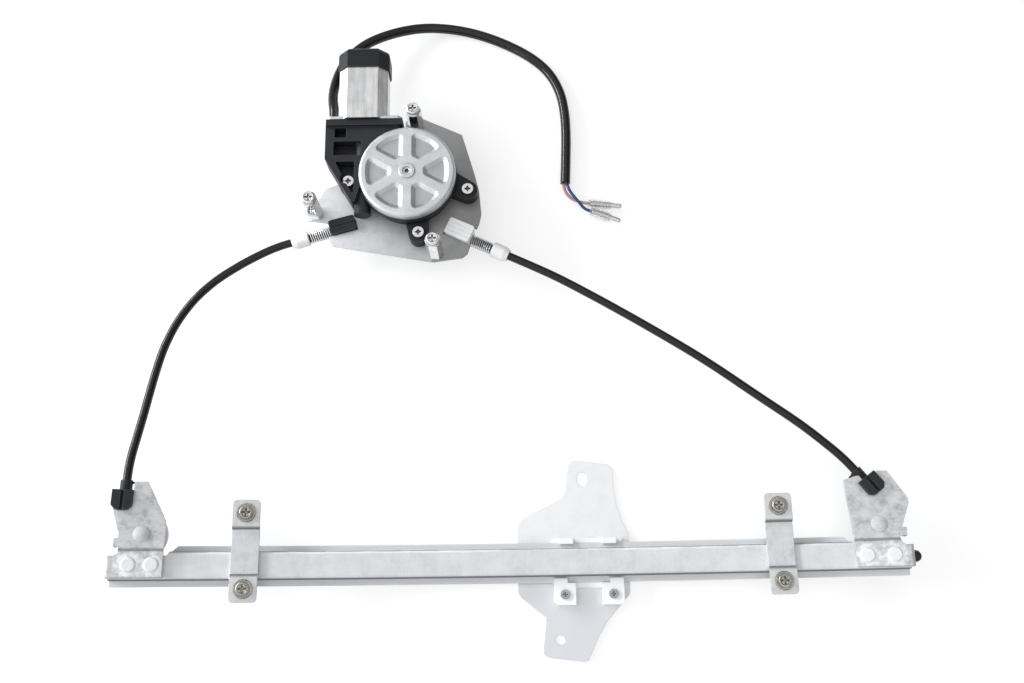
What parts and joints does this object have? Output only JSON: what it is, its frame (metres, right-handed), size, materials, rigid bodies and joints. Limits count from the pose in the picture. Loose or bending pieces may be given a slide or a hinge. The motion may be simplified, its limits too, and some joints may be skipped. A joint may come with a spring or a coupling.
{
  "type": "window regulator",
  "caption": "Cable-driven power window regulator: curved hat-section guide rail with sliding glass carrier, end pulleys, sheathed cables and a worm-geared motor unit with its lead.",
  "frame": {"origin": "middle of the slider at its rest place, on the rail's centreline and on the surface that the carrier plate lies on", "axes": "+X along the guide rail towards the end with the rubber stop, +Y up the picture towards the motor unit, +Z out of the carrier plate towards the viewer"},
  "size_m": [0.5247, 0.4733, 0.0565],
  "materials": {
    "galvanised_steel": "satin",
    "bright_zinc": "polished",
    "cast_aluminium": "satin",
    "steel_can": "brushed",
    "white_plastic": "matte",
    "black_plastic": "matte",
    "black_vinyl": "gloss",
    "black_rubber": "matte",
    "spring_steel": "bright",
    "cable_steel": "stranded",
    "blue_vinyl": "gloss",
    "pink_vinyl": "gloss",
    "clear_vinyl": "clear",
    "tinned_brass": "satin",
    "zinc_nipple": "cast",
    "armature_steel": "dull"
  },
  "bodies": {
    "frame": {"guide_rail": "galvanised_steel", "left_end_bracket": "galvanised_steel", "right_end_bracket": "galvanised_steel", "bracket_rivets": "galvanised_steel", "pulley_axles": "galvanised_steel", "left_strap": "galvanised_steel", "right_strap": "galvanised_steel", "strap_screws": "bright_zinc", "strap_weld_nuts": "galvanised_steel", "left_conduit_fitting": "black_plastic", "right_conduit_fitting": "black_plastic", "left_conduit": "black_vinyl", "right_conduit": "black_vinyl", "left_spring": "spring_steel", "right_spring": "spring_steel", "left_ferrule": "white_plastic", "right_ferrule": "white_plastic", "left_cable_block": "black_plastic", "right_cable_block": "white_plastic", "drum_housing": "black_plastic", "mounting_plate": "galvanised_steel", "gear_housing": "black_plastic", "gear_cap": "cast_aluminium", "housing_screws": "bright_zinc", "standoffs": "bright_zinc", "standoff_screws": "bright_zinc", "motor_can": "steel_can", "motor_end_cap": "black_plastic", "lift_cable": "cable_steel", "drum_cables": "cable_steel", "rail_stop": "black_rubber", "lead_sleeve": "black_vinyl", "blue_wire": "blue_vinyl", "pink_wire": "pink_vinyl", "terminal_sleeves": "clear_vinyl", "bullet_terminals": "tinned_brass"},
    "carrier": {"carrier_plate": "galvanised_steel", "slider_shoe": "white_plastic", "shoe_screws": "bright_zinc", "cable_nipples": "zinc_nipple"},
    "drum": {"cable_drum": "black_plastic", "wound_cable": "cable_steel", "worm_wheel": "white_plastic", "output_shaft": "bright_zinc"},
    "armature": {"motor_armature": "armature_steel"},
    "left_pulley_wheel": {"left_pulley": "white_plastic"},
    "right_pulley_wheel": {"right_pulley": "white_plastic"}
  },
  "joints": [
    {"name": "carrier_travel", "type": "hinge", "parent": "frame", "child": "carrier", "pos_m": [0, 0, 1.514], "axis": [0, -1, 0], "range_deg": [-9.05, 5.43]},
    {"name": "drum_spin", "type": "hinge", "parent": "frame", "child": "drum", "pos_m": [-0.1195, 0.267, 0.014], "axis": [0, 0, 1], "range_deg": [-449.8, 749]},
    {"name": "left_pulley_spin", "type": "hinge", "parent": "frame", "child": "left_pulley_wheel", "pos_m": [-0.2874, 0.0196, 0.03751], "axis": [0.1911, 0, 0.9816], "range_deg": [-973.4, 584.4]},
    {"name": "right_pulley_spin", "type": "hinge", "parent": "frame", "child": "right_pulley_wheel", "pos_m": [0.18923, 0.0196, 0.02175], "axis": [-0.1258, 0, 0.9921], "range_deg": [-973.4, 584.4]},
    {"name": "armature_spin", "type": "hinge", "parent": "frame", "child": "armature", "pos_m": [-0.1517, 0.267, 0.0355], "axis": [0, 1, 0], "range_deg": [-26927.8, 44879.1]}
  ],
  "couplings": [
    {"joint": "drum_spin", "follows": "carrier_travel", "ratio": -82.648},
    {"joint": "left_pulley_spin", "follows": "carrier_travel", "ratio": 107.44},
    {"joint": "right_pulley_spin", "follows": "carrier_travel", "ratio": 107.44},
    {"joint": "armature_spin", "follows": "carrier_travel", "ratio": -4958.9}
  ]
}
